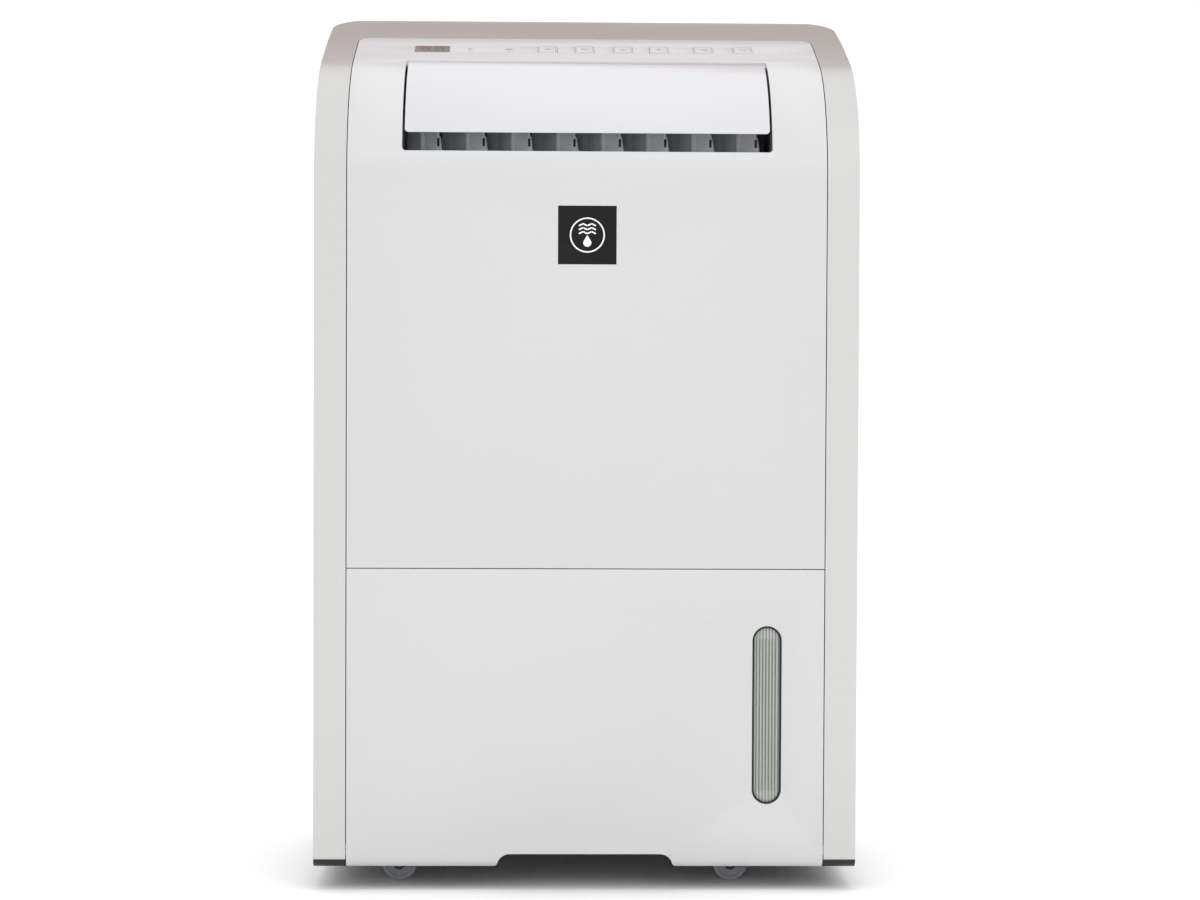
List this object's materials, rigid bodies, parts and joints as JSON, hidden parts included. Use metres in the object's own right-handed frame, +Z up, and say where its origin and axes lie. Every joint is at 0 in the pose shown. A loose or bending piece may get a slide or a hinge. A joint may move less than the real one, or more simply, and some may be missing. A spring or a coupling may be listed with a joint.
{
  "type": "dehumidifier",
  "caption": "Upright cabinet dehumidifier with a sloping control top, a swinging outlet flap over turning vanes, a pull-out water tank and swivel casters.",
  "frame": {"origin": "on the floor, under the middle of the cabinet", "axes": "+Z up, the front faces -Y, +X to the right of someone who looks at the front"},
  "size_m": [0.36, 0.225, 0.6],
  "materials": {
    "white": "satin gloss",
    "silver": "metallic silver paint on plastic",
    "dark": "fine matte",
    "vane": "satin grey",
    "flap": "satin gloss",
    "badge": "gloss black with a pale print",
    "display": "smoked lens",
    "board": "solder mask",
    "motor": "plated steel",
    "tank": "clear natural plastic",
    "window": "ribbed smoked plastic",
    "float": "foam-filled float",
    "compressor": "black enamel",
    "rubber": "moulded",
    "copper": "drawn copper tube",
    "fins": "stamped fins",
    "filter": "woven mesh in a frame",
    "pleats": "pleated paper",
    "wheel": "hard nylon",
    "screw": "zinc plated",
    "grey": "moulded"
  },
  "bodies": {
    "cabinet": {"silver_frame": "silver", "front_panel": "white", "rear_panel": "white", "side_panel_left": "white", "side_panel_right": "white", "base_pan": "dark", "tank_bay": "grey", "mid_deck": "grey", "outlet_duct": "dark", "badge": "badge", "display_window": "display", "control_board": "board", "louver_motor": "motor", "compressor": "compressor", "compressor_mounts": "rubber", "refrigerant_pipes": "copper", "evaporator": "fins", "condenser": "fins", "drain_pan": "grey", "fan_scroll": "grey", "fan_motor": "motor", "power_box": "dark", "hepa_filter": "pleats", "drain_spout": "grey", "cord_gland": "rubber", "cabinet_screws": "screw"},
    "flap": {"flap": "flap"},
    "vane_1": {"vane_1": "vane"},
    "vane_2": {"vane_2": "vane"},
    "vane_3": {"vane_3": "vane"},
    "vane_4": {"vane_4": "vane"},
    "vane_link_left": {"vane_link_left": "dark"},
    "vane_5": {"vane_5": "vane"},
    "vane_6": {"vane_6": "vane"},
    "vane_7": {"vane_7": "vane"},
    "vane_8": {"vane_8": "vane"},
    "vane_link_right": {"vane_link_right": "dark"},
    "tank": {"tank_body": "tank", "tank_front": "white", "tank_window": "window", "tank_lid": "grey"},
    "tank_handle": {"tank_handle": "grey"},
    "tank_float": {"tank_float": "float"},
    "button_1": {"button_1": "white"},
    "button_2": {"button_2": "white"},
    "button_3": {"button_3": "white"},
    "button_4": {"button_4": "white"},
    "button_5": {"button_5": "white"},
    "button_6": {"button_6": "white"},
    "rear_grille": {"rear_grille": "white", "filter_frame": "filter"},
    "fan": {"fan_impeller": "grey"},
    "caster_fork_1": {"caster_fork_1": "dark"},
    "caster_wheel_1": {"caster_wheel_1": "wheel"},
    "caster_fork_2": {"caster_fork_2": "dark"},
    "caster_wheel_2": {"caster_wheel_2": "wheel"},
    "caster_fork_3": {"caster_fork_3": "dark"},
    "caster_wheel_3": {"caster_wheel_3": "wheel"},
    "caster_fork_4": {"caster_fork_4": "dark"},
    "caster_wheel_4": {"caster_wheel_4": "wheel"}
  },
  "joints": [
    {"name": "flap_hinge", "type": "hinge", "parent": "cabinet", "child": "flap", "pos_m": [0, -0.05146, 0.5517], "axis": [-1, 0, 0], "range_deg": [0, 75]},
    {"name": "vane_1_hinge", "type": "hinge", "parent": "cabinet", "child": "vane_1", "pos_m": [-0.10995, -0.0765, 0.50426], "axis": [0, 0, 1], "range_deg": [-88, 0]},
    {"name": "vane_2_hinge", "type": "hinge", "parent": "cabinet", "child": "vane_2", "pos_m": [-0.07965, -0.0765, 0.50426], "axis": [0, 0, 1], "range_deg": [-88, 0]},
    {"name": "vane_3_hinge", "type": "hinge", "parent": "cabinet", "child": "vane_3", "pos_m": [-0.04935, -0.0765, 0.50426], "axis": [0, 0, 1], "range_deg": [-88, 0]},
    {"name": "vane_4_hinge", "type": "hinge", "parent": "cabinet", "child": "vane_4", "pos_m": [-0.01905, -0.0765, 0.50426], "axis": [0, 0, 1], "range_deg": [-88, 0]},
    {"name": "vane_link_left_pivot", "type": "hinge", "parent": "vane_1", "child": "vane_link_left", "pos_m": [-0.09955, -0.08587, 0.50626], "axis": [0, 0, 1], "range_deg": [0, 88]},
    {"name": "vane_5_hinge", "type": "hinge", "parent": "cabinet", "child": "vane_5", "pos_m": [0.01125, -0.0765, 0.50426], "axis": [0, 0, 1], "range_deg": [-88, 0]},
    {"name": "vane_6_hinge", "type": "hinge", "parent": "cabinet", "child": "vane_6", "pos_m": [0.04155, -0.0765, 0.50426], "axis": [0, 0, 1], "range_deg": [-88, 0]},
    {"name": "vane_7_hinge", "type": "hinge", "parent": "cabinet", "child": "vane_7", "pos_m": [0.07185, -0.0765, 0.50426], "axis": [0, 0, 1], "range_deg": [-88, 0]},
    {"name": "vane_8_hinge", "type": "hinge", "parent": "cabinet", "child": "vane_8", "pos_m": [0.10215, -0.0765, 0.50426], "axis": [0, 0, 1], "range_deg": [-88, 0]},
    {"name": "vane_link_right_pivot", "type": "hinge", "parent": "vane_5", "child": "vane_link_right", "pos_m": [0.02165, -0.08587, 0.50626], "axis": [0, 0, 1], "range_deg": [0, 88]},
    {"name": "tank_slide", "type": "slide", "parent": "cabinet", "child": "tank", "axis": [0, -1, 0], "range_m": [0, 0.19]},
    {"name": "tank_handle_hinge", "type": "hinge", "parent": "tank", "child": "tank_handle", "pos_m": [0, -0.0425, 0.185], "axis": [1, 0, 0], "range_deg": [0, 90]},
    {"name": "tank_float_hinge", "type": "hinge", "parent": "tank", "child": "tank_float", "pos_m": [-0.0078, -0.0245, 0.153], "axis": [1, 0, 0], "range_deg": [0, 16]},
    {"name": "button_1_press", "type": "slide", "parent": "cabinet", "child": "button_1", "axis": [0, 0.3436, -0.9391], "range_m": [0, 0.0008], "stiffness_N_per_m": 500},
    {"name": "button_2_press", "type": "slide", "parent": "cabinet", "child": "button_2", "axis": [0, 0.3436, -0.9391], "range_m": [0, 0.0008], "stiffness_N_per_m": 500},
    {"name": "button_3_press", "type": "slide", "parent": "cabinet", "child": "button_3", "axis": [0, 0.3436, -0.9391], "range_m": [0, 0.0008], "stiffness_N_per_m": 500},
    {"name": "button_4_press", "type": "slide", "parent": "cabinet", "child": "button_4", "axis": [0, 0.3436, -0.9391], "range_m": [0, 0.0008], "stiffness_N_per_m": 500},
    {"name": "button_5_press", "type": "slide", "parent": "cabinet", "child": "button_5", "axis": [0, 0.3436, -0.9391], "range_m": [0, 0.0008], "stiffness_N_per_m": 500},
    {"name": "button_6_press", "type": "slide", "parent": "cabinet", "child": "button_6", "axis": [0, 0.3436, -0.9391], "range_m": [0, 0.0008], "stiffness_N_per_m": 500},
    {"name": "rear_grille_hinge", "type": "hinge", "parent": "cabinet", "child": "rear_grille", "pos_m": [0, 0.1098, 0.2367], "axis": [-1, 0, 0], "range_deg": [0, 75]},
    {"name": "fan_spin", "type": "hinge", "parent": "cabinet", "child": "fan", "pos_m": [0, -0.0525, 0.34868], "axis": [0, 1, 0], "continuous": true},
    {"name": "caster_1_swivel", "type": "hinge", "parent": "cabinet", "child": "caster_fork_1", "pos_m": [-0.112, -0.069, 0.026], "axis": [0, 0, 1], "continuous": true},
    {"name": "caster_1_roll", "type": "hinge", "parent": "caster_fork_1", "child": "caster_wheel_1", "pos_m": [-0.1248, -0.069, 0.0115], "axis": [0, 1, 0], "continuous": true},
    {"name": "caster_2_swivel", "type": "hinge", "parent": "cabinet", "child": "caster_fork_2", "pos_m": [0.112, -0.069, 0.026], "axis": [0, 0, 1], "continuous": true},
    {"name": "caster_2_roll", "type": "hinge", "parent": "caster_fork_2", "child": "caster_wheel_2", "pos_m": [0.0992, -0.069, 0.0115], "axis": [0, 1, 0], "continuous": true},
    {"name": "caster_3_swivel", "type": "hinge", "parent": "cabinet", "child": "caster_fork_3", "pos_m": [-0.112, 0.069, 0.026], "axis": [0, 0, 1], "continuous": true},
    {"name": "caster_3_roll", "type": "hinge", "parent": "caster_fork_3", "child": "caster_wheel_3", "pos_m": [-0.1248, 0.069, 0.0115], "axis": [0, 1, 0], "continuous": true},
    {"name": "caster_4_swivel", "type": "hinge", "parent": "cabinet", "child": "caster_fork_4", "pos_m": [0.112, 0.069, 0.026], "axis": [0, 0, 1], "continuous": true},
    {"name": "caster_4_roll", "type": "hinge", "parent": "caster_fork_4", "child": "caster_wheel_4", "pos_m": [0.0992, 0.069, 0.0115], "axis": [0, 1, 0], "continuous": true}
  ],
  "couplings": [
    {"joint": "vane_2_hinge", "follows": "vane_1_hinge", "ratio": 1},
    {"joint": "vane_3_hinge", "follows": "vane_1_hinge", "ratio": 1},
    {"joint": "vane_4_hinge", "follows": "vane_1_hinge", "ratio": 1},
    {"joint": "vane_link_left_pivot", "follows": "vane_1_hinge", "ratio": -1},
    {"joint": "vane_6_hinge", "follows": "vane_5_hinge", "ratio": 1},
    {"joint": "vane_7_hinge", "follows": "vane_5_hinge", "ratio": 1},
    {"joint": "vane_8_hinge", "follows": "vane_5_hinge", "ratio": 1},
    {"joint": "vane_link_right_pivot", "follows": "vane_5_hinge", "ratio": -1}
  ]
}
